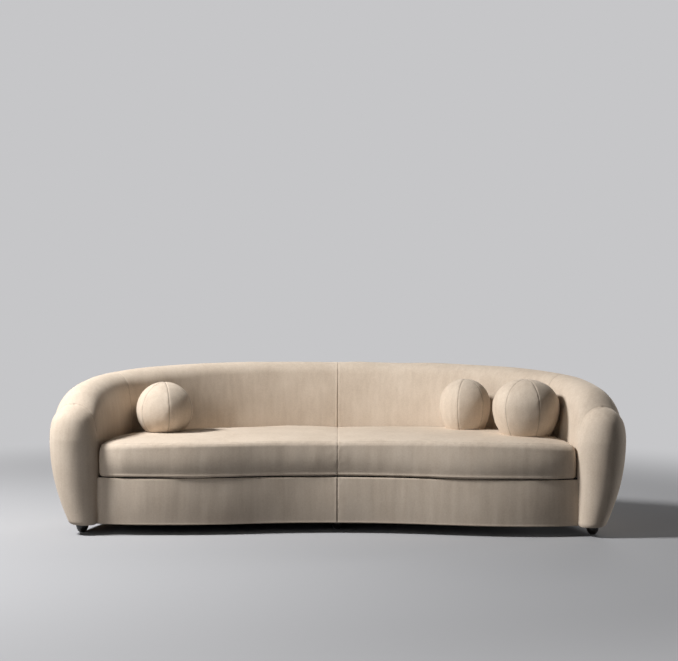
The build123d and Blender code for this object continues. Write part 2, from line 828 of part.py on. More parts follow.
# Ball pillows: six gores drawn in at their seams, flattened where they lie on the seat
def ball_outline(radius, above, below, flat, inset):
    """Half outline of a ball about its axis, with the widest ring at zero."""
    wide = radius - inset
    high = above - inset
    low = inset - below
    slope = math.radians(45)
    spare = (radius - above) / (math.cos(slope) + math.sin(slope) - 1)
    side = wide - spare * math.cos(slope)
    cap = high + spare * math.sin(slope)
    side_mid = (wide - side + side * math.cos(slope / 2), side * math.sin(slope / 2))
    shoulder = (wide - side + side * math.cos(slope), side * math.sin(slope))
    cap_mid = (cap * math.sin(slope / 2), high - cap + cap * math.cos(slope / 2))
    foot = flat - inset
    swell = ((wide - foot) ** 2 + low**2) / (2 * (wide - foot))
    turn = math.asin(-low / swell) / 2
    bulge = (wide - swell + swell * math.cos(turn), -swell * math.sin(turn))
    return [
        ThreePointArc((wide, 0), side_mid, shoulder),
        ThreePointArc(shoulder, cap_mid, (0, high)),
        Line((0, high), (0, low)),
        Line((0, low), (foot, low)),
        ThreePointArc((foot, low), bulge, (wide, 0)),
    ]


def ball_solid(sizes, inset):
    return revolve(Plane.XZ * Face(Wire(ball_outline(*sizes, inset))), Axis.Z)


def ball_cover(sizes):
    shell = ball_solid(sizes, 0.0) - ball_solid(sizes, leather)
    outer = Face(Wire(ball_outline(*sizes, 0.0)))
    inner = Face(Wire(ball_outline(*sizes, gore_depth)))
    strip = extrude(Plane.XZ * (outer - inner), gore_groove / 2, both=True)
    radius, above, below, _ = sizes
    clear = Pos(0, 0, gore_stop - below) * Box(4 * radius, 4 * radius, 4 * above, align=upward)
    strip = strip & clear
    for k in range(ball_gores):
        shell -= Rot(0, 0, 360.0 * (k + 0.5) / ball_gores) * strip
    return shell


def seat_top(x, y, flat):
    """Highest point of the cushion under a ball's flat."""
    column = Pos(x, y, 0) * Cylinder(flat, 4 * cushion_crown)
    return (seat_solid & column).bounding_box().max.Z


for name, (run, room, *sizes) in balls.items():
    x, y = plan_point(abs(run), -wall_half - room - sizes[0])
    x = math.copysign(x, run)
    place = Pos(x, y, seat_top(x, y, sizes[3]) + cushion_gap + sizes[2])
    parts[name + "_cover"] = place * ball_cover(sizes)
    parts[name + "_fill"] = place * ball_solid(sizes, leather + fit_gap)

os.makedirs("parts", exist_ok=True)
for name, shape in parts.items():
    export_step(shape, f"parts/{name}.step")
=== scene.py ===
import json
import math

import bpy
import numpy as np
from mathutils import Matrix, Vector


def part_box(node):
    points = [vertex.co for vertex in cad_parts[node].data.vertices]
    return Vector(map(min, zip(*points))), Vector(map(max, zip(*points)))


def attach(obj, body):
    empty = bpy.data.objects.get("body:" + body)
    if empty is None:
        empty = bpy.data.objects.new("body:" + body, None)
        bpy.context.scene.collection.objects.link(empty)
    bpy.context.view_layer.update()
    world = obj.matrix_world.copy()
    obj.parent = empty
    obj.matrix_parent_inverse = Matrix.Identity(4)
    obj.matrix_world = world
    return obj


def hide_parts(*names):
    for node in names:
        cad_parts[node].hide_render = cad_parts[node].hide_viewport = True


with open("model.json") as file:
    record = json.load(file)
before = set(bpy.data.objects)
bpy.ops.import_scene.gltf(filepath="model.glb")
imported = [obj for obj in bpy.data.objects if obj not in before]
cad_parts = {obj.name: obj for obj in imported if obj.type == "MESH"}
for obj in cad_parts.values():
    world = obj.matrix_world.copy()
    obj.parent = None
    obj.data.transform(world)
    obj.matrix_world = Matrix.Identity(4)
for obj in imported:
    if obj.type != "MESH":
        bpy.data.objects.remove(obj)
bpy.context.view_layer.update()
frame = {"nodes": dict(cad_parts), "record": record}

# A crescent sofa in pale nubuck. Metres, the front faces -Y.

# Plan and section of the wall, which is back, corners and arms in one roll, as the solids have them
back_radius = 1.690
back_turn = math.radians(37.3)
corner_radius = 0.448
arm_turn = math.radians(77.7)
arm_length = 0.290
wall_half = 0.120
belly_half = 0.112
back_roll = 0.080
arm_roll = 0.107
roll_start = 0.500
back_height = 0.778
arm_height = 0.6065
back_fall = 0.093
fall_start = 0.447
fall_power = 2.14
shoulder_power = 24
knee_height = 0.420
belly_height = 0.457
belly_tuck = 0.110
nose_reach = 0.118
nose_tuck = 0.035
hem = 0.048
deck_height = 0.262

# Seat and base front in plan
front_setback = 0.143
front_bow = 0.095
front_lobe = 0.900
front_end_radius = 0.800
front_rise = 0.006
seat_overhang = 0.006
seat_bow = 0.097
seat_lobe = 0.880
seat_side_gap = 0.001
seat_corner = 0.160
seat_corner_setback = 0.026

# Upholstery: seam grooves, puckers, waviness over the foam, hems and the fill at the arched seams
skin = 0.009
seam_depth = 0.0026
seam_width = 0.0030
shoulder_depth = 0.0012
shoulder_reach = 0.022
pucker_height = 0.0005
pucker_length = 0.024
pucker_reach = 0.020
wave_height = 0.0009
wave_length = 0.34
streak_height = 0.00018
streak_length = 0.06
streak_stretch = (1, 1, 5)
lip_height = 0.0012
lip_place = 0.0070
lip_width = 0.0028
welt_height = 0.0020
welt_place = 0.0045
welt_width = 0.0024
hem_round = 0.007
arch_ease = 0.018

# Seams: strengths as shares of a full groove, heights where the arched one fades, painted shade
firm_seam = 1.00
middle_seam = 0.50
crease_seam = 0.55
arch_seam = 0.36
faint_seam = 0.12
faint_seam_top = 0.50
firm_seam_low = 0.58
# Width and darkness of the painted shade along the seams
painted_seam_line = 0.0024
painted_seam_darkness = 0.42

# Spacing of the meshes, close at the seams, and the angle from which their edges are sharp
fine_step = 0.0016
coarse_step = 0.011
step_growth = 1.3
walk_samples = 400
sharp_angle = math.radians(55)

# Values worked out from the sizes above
back_run = back_radius * back_turn
corner_run = back_run + corner_radius * (arm_turn - back_turn)
arm_run = corner_run + arm_length
crease_run = (back_run + corner_run) / 2
ridge_fall = back_radius * (1 - math.cos(back_turn))
corner_fall = corner_radius * (math.cos(back_turn) - math.cos(arm_turn))
arm_fall = arm_length * math.sin(arm_turn)
ridge_y = (ridge_fall + corner_fall + arm_fall + nose_reach - belly_half) / 2
front_y = ridge_y - ridge_fall - corner_fall - arm_fall - nose_reach + front_setback
lower = (belly_tuck**2 + (belly_height - hem) ** 2) / (2 * belly_tuck)
lower_end = -math.asin((belly_height - hem) / lower)
nose_half = (wall_half + belly_half) / 2
seat_end_radius = seat_lobe / (2 * math.sin(2 * math.atan2(seat_bow, seat_lobe)))
base_top = deck_height + front_rise


def ridge(run):
    """Plan point of the wall's ridge and the turn of its path, at distances from the middle."""
    corner = np.minimum(back_turn + (run - back_run) / corner_radius, arm_turn)
    turn = np.where(run < back_run, run / back_radius, corner)
    on_back = np.minimum(turn, back_turn)
    ahead = np.maximum(run - corner_run, 0.0)
    x = back_radius * np.sin(on_back) + corner_radius * (np.sin(turn) - np.sin(on_back))
    corner_y = corner_radius * (np.cos(on_back) - np.cos(turn))
    y = ridge_y - back_radius * (1 - np.cos(on_back)) - corner_y
    return x + ahead * np.cos(turn), y - ahead * np.sin(turn), turn


def plan_point(run, out):
    x, y, turn = ridge(run)
    return x + out * np.sin(turn), y + out * np.cos(turn)


def crown(run):
    """Height of the ridge: level along the back, then falling to the arm."""
    share = np.maximum(run - fall_start, 0.0) / (arm_run - fall_start)
    shoulder = back_height - back_fall - arm_height
    return back_height - back_fall * share**fall_power - shoulder * share**shoulder_power


def roll(run):
    """Radius of the roll on top of the wall, fuller towards the arm."""
    share = np.clip((run - roll_start) / (arm_run - roll_start), 0.0, 1.0)
    return back_roll + (arm_roll - back_roll) * share**2 * (3 - 2 * share)


def wall_arcs(run):
    """Centre height of the roll, and the radii and ends of the arcs of the wall's section."""
    radius = roll(run)
    roll_z = crown(run) - radius
    inner = (wall_half**2 + (roll_z - knee_height) ** 2 - radius**2) / (2 * (wall_half - radius))
    outer = (belly_half**2 + (roll_z - belly_height) ** 2 - radius**2) / (2 * (belly_half - radius))
    inner_end = np.arctan2(roll_z - knee_height, wall_half - inner)
    outer_end = np.arctan2(roll_z - belly_height, outer - belly_half)
    return radius, roll_z, inner, outer, inner_end, outer_end


def wall_line(run, across):
    """Section of the wall: across runs from 0 at the deck to 1 at the knee, 2 at the roll, 3 over
    it, 4 at the belly and 5 at the hem."""
    radius, roll_z, inner, outer, inner_end, outer_end = wall_arcs(run)
    part = across - np.ceil(across) + 1
    inner_angle = math.pi + (inner_end - math.pi) * part
    roll_angle = inner_end + (outer_end - inner_end) * part
    outer_angle = outer_end * (1 - part)
    lower_angle = lower_end * part
    out = np.select(
        [across <= 1, across <= 2, across <= 3, across <= 4],
        [
            -wall_half + 0 * roll_angle,
            inner - wall_half + inner * np.cos(inner_angle),
            radius * np.cos(roll_angle),
            belly_half - outer + outer * np.cos(outer_angle),
        ],
        belly_half - lower + lower * np.cos(lower_angle),
    )
    height = np.select(
        [across <= 1, across <= 2, across <= 3, across <= 4],
        [
            deck_height + (knee_height - deck_height) * across + 0 * roll_angle,
            knee_height + inner * np.sin(inner_angle),
            roll_z + radius * np.sin(roll_angle),
            belly_height + outer * np.sin(outer_angle),
        ],
        belly_height + lower * np.sin(lower_angle),
    )
    return out, height


def wall_points(runs, across):
    """Grid of points on the right half of the wall's skin."""
    run, across = np.meshgrid(runs, across, indexing="ij")
    out, height = wall_line(run, across)
    x, y = plan_point(run, out)
    return np.stack([x, y, height], axis=2)


def eased(points):
    """Fills the hollow where the falling right arm meets its front, so that the leather runs on
    over the arch."""
    end = np.array(arm_run)
    x, y, turn = ridge(end)
    roll_z = wall_arcs(end)[1]
    forward = np.array([np.cos(turn), -np.sin(turn), 0.0])
    offset = points - np.array([x, y, roll_z])
    along = offset @ forward
    outward = offset - along[..., None] * forward
    outward /= np.maximum(np.linalg.norm(outward, axis=2, keepdims=True), 1e-9)
    slope = (crown(end - arch_ease / 4) - crown(end)) / (arch_ease / 4)
    fill = slope * np.maximum(arch_ease - np.abs(along), 0) ** 2 / (4 * arch_ease)
    return points + outward * (fill * np.maximum(outward[..., 2], 0))[..., None]


def seam_spacing(length):
    """Shares from 0 to 1 of a length, close together at both ends, where the seams are."""
    steps = []
    step = fine_step
    while step < coarse_step and sum(steps) < length / 3:
        steps.append(step)
        step *= step_growth
    middle = length - 2 * sum(steps)
    count = max(round(middle / coarse_step), 1)
    places = np.concatenate([[0.0], np.cumsum(steps + [middle / count] * count + steps[::-1])])
    return places / places[-1]


def even_across(first, last, run):
    """Places across the wall between two of its edges, spaced by the real length there."""
    fine = np.linspace(first, last, walk_samples)
    out, height = wall_line(np.full_like(fine, run), fine)
    walked = np.concatenate([[0.0], np.cumsum(np.hypot(np.diff(out), np.diff(height)))])
    return np.interp(seam_spacing(walked[-1]) * walked[-1], walked, fine)


def even_runs(first, last):
    return first + seam_spacing(last - first) * (last - first)


def waves(points, length, seed, stretch=(1.0, 1.0, 1.0)):
    """Smooth waviness of about one unit's height, with waves of a given length that can be drawn
    out along an axis."""
    rng = np.random.default_rng(seed)
    total = np.zeros(points.shape[:-1])
    count = 18
    for _ in range(count):
        direction = rng.normal(size=3)
        direction /= np.linalg.norm(direction)
        pitch = 2 * math.pi / (length * rng.uniform(0.7, 1.5))
        along = points @ (direction * pitch / np.array(stretch))
        total += np.sin(along + rng.uniform(0, 2 * math.pi))
    return total / math.sqrt(count / 2)


def grid_normals(points, side, closed=()):
    """Outward normals of a grid of points whose first axis runs to the right."""
    slopes = []
    for axis in (0, 1):
        if axis in closed:
            slopes.append(np.roll(points, -1, axis) - np.roll(points, 1, axis))
        else:
            slopes.append(np.gradient(points, axis=axis))
    normal = np.cross(slopes[0], slopes[1]) * side
    length = np.linalg.norm(normal, axis=2, keepdims=True)
    return normal / np.maximum(length, 1e-12)


def line_distance(points, axis, index):
    """Distance along the grid's lines to one of its rows or columns."""
    steps = np.linalg.norm(np.diff(points, axis=axis), axis=2)
    begin = np.zeros_like(np.take(steps, [0], axis))
    walked = np.concatenate([begin, np.cumsum(steps, axis)], axis)
    return np.abs(walked - np.take(walked, [index], axis))


edges_of_grid = {"first": (0, 0), "last": (0, -1), "low": (1, 0), "high": (1, -1)}


def edge_distance(points, edge):
    return line_distance(points, *edges_of_grid[edge])


def groove(distance):
    """Dip of the leather into a seam, with the soft shoulder beside it."""
    shoulder = shoulder_depth * np.exp(-distance / shoulder_reach)
    return -seam_depth * np.exp(-((distance / seam_width) ** 2)) - shoulder


def lip(distance):
    """Raised allowance that is stitched down beside a seam."""
    return lip_height * np.exp(-(((distance - lip_place) / lip_width) ** 2))


def welt(distance):
    """Slim rolled edge that stands proud just beside a hem or an edge seam."""
    return welt_height * np.exp(-(((distance - welt_place) / welt_width) ** 2))


def turned_in(distance):
    """Leather that turns under at a hem."""
    short = np.clip(1 - distance / hem_round, 0, 1)
    return -hem_round * (1 - np.sqrt(np.maximum(1 - short**2, 0)))


def puckers(points, distance, seed):
    """Small gathers that a seam draws into the leather."""
    return pucker_height * waves(points, pucker_length, seed) * np.exp(-distance / pucker_reach)


def arched(points):
    """Strength of the seam round an arm's front, which is fainter where it runs down beside the
    seat."""
    over = np.clip((points[..., 2] - faint_seam_top) / (firm_seam_low - faint_seam_top), 0, 1)
    return faint_seam + (arch_seam - faint_seam) * over


def seam_strength(strength, points):
    """Strength of a seam, given as a number or as a function that works it out."""
    return strength(points) if callable(strength) else strength


def upholster(points, side, seams, lips=(), hems=(), welts=()):
    """Moves a smooth grid to the shape of leather that is drawn over foam and stitched at its
    edges.
    seams gives the strength of the seam along each stitched edge. The waviness depends on the place
    alone, so panels meet at their seams."""
    lift = wave_height * waves(points, wave_length, 10)
    lift = lift + streak_height * waves(points, streak_length, 11, streak_stretch)
    for edge, strength in seams.items():
        distance = edge_distance(points, edge)
        dip = groove(distance) * seam_strength(strength, points)
        lift = lift + dip + puckers(points, distance, 12)
    for edge in lips:
        lift = lift + lip(edge_distance(points, edge))
    for edge in hems:
        lift = lift + turned_in(edge_distance(points, edge))
    for edge in welts:
        lift = lift + welt(edge_distance(points, edge))
    return points + grid_normals(points, side) * lift[..., None]


def painted_seam_shade(distance):
    """Painted shade along a seam, darkest on its line."""
    return painted_seam_darkness * np.exp(-((distance / painted_seam_line) ** 2))


def edge_shade(points, seams):
    """Painted shade along the seams at the edges of a panel."""
    shade = np.zeros(points.shape[:2])
    for edge, strength in seams.items():
        line = painted_seam_shade(edge_distance(points, edge)) * seam_strength(strength, points)
        shade = np.maximum(shade, line)
    return shade


def store_painted_seam_shade(piece, shade):
    """Stores the painted seam shade at each point, which darkens the leather's colour."""
    values = np.zeros(len(piece.data.vertices), np.float32)
    values[: shade.size] = shade.ravel()
    piece.data.attributes.new("painted_seam_line", "FLOAT", "POINT").data.foreach_set("value", values)


def add_mesh(name, vertices, faces, material, body):
    """One piece of the sofa: a smooth mesh that rides on a body."""
    mesh = bpy.data.meshes.new(name)
    mesh.from_pydata(vertices, [], faces)
    mesh.validate()
    mesh.polygons.foreach_set("use_smooth", [True] * len(mesh.polygons))
    mesh.set_sharp_from_angle(angle=sharp_angle)
    mesh.materials.append(material)
    piece = bpy.data.objects.new(name, mesh)
    bpy.context.scene.collection.objects.link(piece)
    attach(piece, body)
    return piece


def grid_quads(index):
    """Faces of a grid of vertex numbers."""
    corners = [index[:-1, :-1], index[1:, :-1], index[1:, 1:], index[:-1, 1:]]
    return np.stack(corners, axis=2).reshape(-1, 4)


def shell_faces(rows, columns, side):
    """Faces of a closed shell whose outer grid comes first and whose inner grid follows."""
    index = np.arange(rows * columns).reshape(rows, columns)
    quads = grid_quads(index)
    inner = rows * columns
    faces = [quads, quads[:, ::-1] + inner]
    rims = [index[0, :][::-1], index[-1, :], index[:, 0], index[:, -1][::-1]]
    for rim in rims:
        faces.append(np.stack([rim[1:], rim[:-1], rim[:-1] + inner, rim[1:] + inner], axis=1))
    faces = np.concatenate(faces)
    return faces if side > 0 else faces[:, ::-1]


def panel(name, points, side, material, body="sofa", thickness=skin):
    """Closed shell of one leather panel from its outer grid of points."""
    inner = points - grid_normals(points, side) * thickness
    vertices = np.concatenate([points.reshape(-1, 3), inner.reshape(-1, 3)])
    faces = shell_faces(*points.shape[:2], side)
    return add_mesh(name, vertices.tolist(), faces.tolist(), material, body)


def linear(hex_colour):
    """Linear colour of an sRGB hex value."""
    shares = [int(hex_colour[k : k + 2], 16) / 255 for k in (1, 3, 5)]
    values = [s / 12.92 if s <= 0.04045 else ((s + 0.055) / 1.055) ** 2.4 for s in shares]
    return (*values, 1.0)


def add(material, kind, settings=(), links=()):
    """Adds a node to a material, sets its properties or inputs, and links other nodes' outputs to
    its inputs."""
    node = material.node_tree.nodes.new("ShaderNode" + kind)
    for name, value in dict(settings).items():
        if isinstance(name, int) or name in node.inputs:
            node.inputs[name].default_value = value
        else:
            setattr(node, name, value)
    for name, (source, output) in dict(links).items():
        material.node_tree.links.new(source.outputs[output], node.inputs[name])
    return node


def new_material(name):
    material = bpy.data.materials.new(name)
    material.use_nodes = True
    material.node_tree.nodes.clear()
    return material


def close_material(material, settings, colour, bump):
    """Ends a material with its surface shader."""
    links = {"Base Color": colour, "Normal": (bump, "Normal")}
    shader = add(material, "BsdfPrincipled", settings, links)
    add(material, "OutputMaterial", {}, {"Surface": (shader, "BSDF")})
    return material


def noise(material, source, size, detail):
    """Noise with features of about a size in metres."""
    return add(material, "TexNoise", {"Scale": 1 / size, "Detail": detail}, {"Vector": source})


def mix(material, share, first, second):
    """Two grey values, with a share of the second."""
    return add(material, "Mix", {"data_type": "FLOAT", 0: share}, {2: first, 3: second})


def ramp(material, source, stops):
    """Colour ramp from a grey value, with stops of place and hex colour."""
    node = add(material, "ValToRGB", {}, {"Fac": source})
    elements = node.color_ramp.elements
    elements[0].position, elements[0].color = stops[0][0], linear(stops[0][1])
    elements[1].position, elements[1].color = stops[-1][0], linear(stops[-1][1])
    for place, colour in stops[1:-1]:
        elements.new(place).color = linear(colour)
    return node


def brushed_nubuck():
    """Nubuck: grain leather buffed to a short nap. It is matte, with cloudy shade where the nap
    lies differently, faint streaks up and down from its tension, and a soft bright edge at a low
    angle. Painted shade darkens its colour along the seams towards #57493d."""
    material = new_material("brushed_nubuck")
    place = add(material, "TexCoord")
    tall = add(material, "Mapping", {"Scale": (1.0, 1.0, 0.10)}, {"Vector": (place, "Object")})
    cloud = noise(material, (place, "Object"), 0.150, 4.0)
    streak = noise(material, (tall, "Vector"), 0.020, 2.0)
    # The nap's tufts are under a millimetre, so they are drawn as 7 mm mottling to show at all
    mottle = noise(material, (place, "Object"), 0.007, 5.0)
    grain = noise(material, (place, "Object"), 0.0016, 2.0)
    first = mix(material, 0.42, (cloud, "Fac"), (streak, "Fac"))
    blend = mix(material, 0.34, (first, 0), (mottle, "Fac"))
    shades = [(0.30, "#bfae9c"), (0.50, "#cdbdab"), (0.70, "#d8c9b8")]
    colour = ramp(material, (blend, 0), shades)
    # Painted shade along the seams darkens the colour towards #57493d
    line = add(material, "Attribute", {"attribute_name": "painted_seam_line"})
    colour_with_seam_shade = add(
        material,
        "Mix",
        {"data_type": "RGBA", 7: linear("#57493d")},
        {0: (line, "Fac"), 6: (colour, "Color")},
    )
    height = mix(material, 0.30, (mottle, "Fac"), (grain, "Fac"))
    bump = add(material, "Bump", {"Strength": 0.22, "Distance": 0.0009}, {"Height": (height, 0)})
    settings = {
        "Roughness": 0.88,
        "Specular IOR Level": 0.22,
        "Sheen Weight": 0.16,
        "Sheen Roughness": 0.55,
        "Sheen Tint": linear("#f3e7d6"),
    }
    return close_material(material, settings, (colour_with_seam_shade, 2), bump)


def wood(name, colours, grain_width, roughness, coat=0.0):
    """Beech and plywood, sawn, planed or turned: fine straight grain with short darker flecks,
    under stain or bare."""
    material = new_material(name)
    place = add(material, "TexCoord")
    drawn = add(material, "Mapping", {"Scale": (1.0, 0.12, 1.0)}, {"Vector": (place, "Object")})
    grain = noise(material, (drawn, "Vector"), grain_width, 6.0)
    fleck = noise(material, (drawn, "Vector"), grain_width / 4, 2.0)
    both = mix(material, 0.35, (grain, "Fac"), (fleck, "Fac"))
    colour = ramp(material, (both, 0), list(zip((0.30, 0.52, 0.72), colours)))
    bump = add(material, "Bump", {"Strength": 0.15, "Distance": 0.0005}, {"Height": (both, 0)})
    settings = {"Roughness": roughness, "Coat Weight": coat, "Coat Roughness": 0.25}
    return close_material(material, settings, (colour, "Color"), bump)


def drawn_steel():
    """Spring wire and zinc-plated fasteners: grey metal with fine drawing marks."""
    material = new_material("drawn_steel")
    place = add(material, "TexCoord")
    marks = noise(material, (place, "Object"), 0.002, 3.0)
    colour = ramp(material, (marks, "Fac"), [(0.3, "#77787a"), (0.7, "#9a9b9d")])
    bump = add(material, "Bump", {"Strength": 0.1, "Distance": 0.0002}, {"Height": (marks, "Fac")})
    return close_material(material, {"Metallic": 1.0, "Roughness": 0.38}, (colour, "Color"), bump)


def woven_cloth(name, colours, thread):
    """Platform cloth, webbing and the dust cover: plain weave, matte, each thread just darker at
    its edges."""
    material = new_material(name)
    place = add(material, "TexCoord")
    bands = {"Scale": 1 / (thread * 2 * math.pi), "Distortion": 0.6, "Detail": 1.0}
    source = {"Vector": (place, "Object")}
    warp = add(material, "TexWave", {**bands, "bands_direction": "X"}, source)
    weft = add(material, "TexWave", {**bands, "bands_direction": "Y"}, source)
    weave = add(material, "Math", {"operation": "MULTIPLY"}, {0: (warp, "Fac"), 1: (weft, "Fac")})
    colour = ramp(material, (weave, 0), [(0.0, colours[0]), (1.0, colours[1])])
    bump = add(material, "Bump", {"Strength": 0.35, "Distance": thread / 4}, {"Height": (weave, 0)})
    return close_material(material, {"Roughness": 0.9}, (colour, "Color"), bump)


def moulded_nylon():
    """Injection-moulded nylon glides: black, with a fine spark-eroded texture."""
    material = new_material("moulded_nylon")
    place = add(material, "TexCoord")
    grit = noise(material, (place, "Object"), 0.0008, 2.0)
    colour = ramp(material, (grit, "Fac"), [(0.3, "#151515"), (0.7, "#222222")])
    bump = add(material, "Bump", {"Strength": 0.2, "Distance": 0.0002}, {"Height": (grit, "Fac")})
    return close_material(material, {"Roughness": 0.55}, (colour, "Color"), bump)


# A finish for each slot. Foam and fibre are covered by the leather and the platform cloth.
nubuck = brushed_nubuck()
platform_cloth = woven_cloth("platform_cloth", ("#2b2927", "#45413d"), 0.0022)
finishes = {
    "beech": wood("planed_beech", ("#a9825a", "#bf9a70", "#cfae86"), 0.006, 0.55),
    "plywood": wood("sawn_plywood", ("#b3935f", "#c9ab7b", "#d8bf94"), 0.010, 0.7),
    "stained_beech": wood(
        "dark_stained_beech", ("#0d0a08", "#17110d", "#221a14"), 0.004, 0.32, coat=0.3
    ),
    "spring_steel": drawn_steel(),
    "webbing": woven_cloth("woven_webbing", ("#121212", "#2a2a2a"), 0.0016),
    "nylon": moulded_nylon(),
    "nubuck": nubuck,
    "foam": platform_cloth,
    "fibre": platform_cloth,
}
for subpart in frame["record"]["subparts"]:
    solid = frame["nodes"][subpart["node"]]
    solid.data.materials.clear()
    solid.data.materials.append(finishes[subpart["material_slot"]])


def mirrored(points, side):
    return points * np.array([side, 1.0, 1.0])


def wall_panel(name, runs, across, side, edges, nodes):
    """One leather panel of the wall, which stands for its cover and the foam under it."""
    points = upholster(mirrored(eased(wall_points(runs, across)), side), side, **edges)
    piece = panel(name, points, side, nubuck)
    # Painted shade along the panel's seams
    store_painted_seam_shade(piece, edge_shade(points, edges["seams"]))
    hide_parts(*nodes)


# Wall: inside back and inside arm meet at the crease, and both meet the outside along the roll
inside_across = even_across(0.0, 3.0, back_run / 2)
outside_across = even_across(3.0, 5.0, back_run / 2)

for side, word in ((1, "right"), (-1, "left")):
    wall_panel(
        "inside_back_" + word,
        even_runs(0.0, crease_run),
        inside_across,
        side,
        {
            "seams": {"first": middle_seam, "last": crease_seam, "high": firm_seam},
            "lips": ("first",) if side < 0 else (),
        },
        ("inside_back_cover_" + word, "back_foam_" + word),
    )
    wall_panel(
        "inside_arm_" + word,
        even_runs(crease_run, arm_run),
        inside_across,
        side,
        {"seams": {"first": crease_seam, "last": arched, "high": firm_seam}},
        ("inside_arm_cover_" + word, "arm_foam_" + word),
    )
    wall_panel(
        "outside_back_" + word,
        even_runs(0.0, arm_run),
        outside_across,
        side,
        {"seams": {"first": firm_seam, "last": arched, "low": firm_seam}, "hems": ("high",)},
        ("outside_cover_" + word, "outside_wadding_" + word),
    )


# Arm fronts: a round face that is stitched to the end of the arm by an arched seam
arm_front_rows = 48
arm_front_girth = 0.33
dome_angles = np.radians(np.append(np.linspace(3.6, 86.4, 24), [88.4, 89.5]))


def arc_reach(radius, height):
    """Half width of a circle at a height above its centre."""
    return np.sqrt(np.maximum(radius**2 - height**2, 0.0))


def arm_front_points():
    """Grid from the inner to the outer edge of the right arm's front, and from the hem to the
    top."""
    end = np.array(arm_run)
    radius, roll_z, inner, outer, inner_end, outer_end = wall_arcs(end)
    straight = np.linspace(hem, roll_z, arm_front_rows)
    height = np.concatenate([straight, roll_z + radius * np.sin(dome_angles)])
    roll_inner = roll_z + radius * np.sin(inner_end)
    roll_outer = roll_z + radius * np.sin(outer_end)
    on_roll = arc_reach(radius, height - roll_z)
    inner_lean = arc_reach(inner, height - knee_height) - inner + wall_half
    outer_lean = arc_reach(outer, height - belly_height) - outer + belly_half
    lower_lean = arc_reach(lower, height - belly_height) - lower + belly_half
    upper_in = np.where(height <= roll_inner, inner_lean, on_roll)
    upper_out = np.where(height <= roll_outer, outer_lean, on_roll)
    reach_in = np.where(height <= knee_height, wall_half, upper_in)
    reach_out = np.where(height <= belly_height, lower_lean, upper_out)
    half = (reach_in + reach_out) / 2
    middle = (reach_out - reach_in) / 2
    below = np.maximum(belly_height - height, 0.0) / (belly_height - hem)
    reach = np.where(below > 0, nose_reach - nose_tuck * below**2, half * nose_reach / nose_half)
    radius = (half**2 + reach**2) / (2 * reach)
    widest = np.arctan2(half, radius - reach)
    share = seam_spacing(arm_front_girth) * 2 - 1
    angle = share[:, None] * widest[None, :]
    out = middle + radius * np.sin(angle)
    ahead = reach - radius + radius * np.cos(angle)
    x, y, turn = ridge(end)
    across_x = x + out * np.sin(turn) + ahead * np.cos(turn)
    across_y = y + out * np.cos(turn) - ahead * np.sin(turn)
    return np.stack([across_x, across_y, np.broadcast_to(height, out.shape)], axis=2)


for side, word in ((1, "right"), (-1, "left")):
    points = mirrored(eased(arm_front_points()), side)
    arch = {"first": arched, "last": arched, "high": arched}
    points = upholster(points, side, arch, hems=("low",))
    arm_front = panel("arm_front_" + word, points, side, nubuck)
    # Painted shade along the arched seam
    store_painted_seam_shade(arm_front, edge_shade(points, arch))
    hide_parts("arm_front_cover_" + word, "arm_front_foam_" + word)


def bowed_front(x, middle_y, bow, lobe, end_radius):
    """Front line in plan: hollow in the middle, a lobe in each half and an end with its own
    radius."""
    turn = 2 * math.atan2(bow, lobe)
    radius = lobe / (2 * math.sin(turn))
    beyond = np.where(x > lobe, end_radius, radius)
    hollow = middle_y - radius + np.sqrt(radius**2 - np.minimum(x, lobe / 2) ** 2)
    from_lobe = np.maximum(x, lobe / 2) - lobe
    swell = middle_y - bow + beyond - np.sqrt(beyond**2 - from_lobe**2)
    return np.where(x < lobe / 2, hollow, swell)


# Base front: a plain panel in two halves, from the hem to under the seat cushion
base_lap = 0.003
base_swell = 0.004
base_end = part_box("front_rail_cover_right")[1].x + base_lap
for side, word in ((1, "right"), (-1, "left")):
    x = seam_spacing(base_end)[:, None] * base_end
    height = hem + (base_top - hem) * seam_spacing(base_top - hem)[None, :]
    x, height = np.broadcast_arrays(x, height)
    swell = base_swell * np.sin(math.pi * (height - hem) / (base_top - hem))
    y = bowed_front(x, front_y, front_bow, front_lobe, front_end_radius) - swell
    points = mirrored(np.stack([x, y, height], axis=2), side)
    lips = ("first",) if side < 0 else ()
    seams = {"first": middle_seam}
    points = upholster(points, side, seams, lips=lips, hems=("low", "high"), welts=("low",))
    base = panel("base_front_" + word, points, side, nubuck)
    # Painted shade along the middle seam
    store_painted_seam_shade(base, edge_shade(points, seams))
    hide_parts("front_rail_cover_" + word)
    if side > 0:
        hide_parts("front_rail_pad")


# Filled pieces: the seat cushion and the pillows, which a cloth simulation blows up
settle_frames = 20


def swollen(piece, held, pressure, cap):
    """Blows a closed piece up like a filled cushion with a cloth simulation, and gives how its
    points moved. held is how firmly each point stays in place, and no point moves further than
    cap."""
    rest = np.array([vertex.co for vertex in piece.data.vertices])
    group = piece.vertex_groups.new(name="held")
    for index, weight in enumerate(held):
        if weight > 0:
            group.add([index], float(weight), "REPLACE")
    cloth = piece.modifiers.new("filling", "CLOTH")
    cloth.settings.quality = 6
    cloth.settings.mass = 0.4
    cloth.settings.tension_stiffness = 12
    cloth.settings.compression_stiffness = 12
    cloth.settings.shear_stiffness = 8
    cloth.settings.bending_stiffness = 2
    cloth.settings.use_pressure = True
    cloth.settings.uniform_pressure_force = pressure
    cloth.settings.vertex_group_mass = group.name
    cloth.settings.effector_weights.gravity = 0
    scene = bpy.context.scene
    for number in range(1, settle_frames + 1):
        scene.frame_set(number)
    shape = piece.evaluated_get(bpy.context.evaluated_depsgraph_get()).to_mesh()
    moved = np.array([vertex.co for vertex in shape.vertices]) - rest
    piece.modifiers.remove(cloth)
    piece.vertex_groups.clear()
    scene.frame_set(1)
    length = np.linalg.norm(moved, axis=1, keepdims=True)
    return moved * np.minimum(1, cap / np.maximum(length, 1e-9))


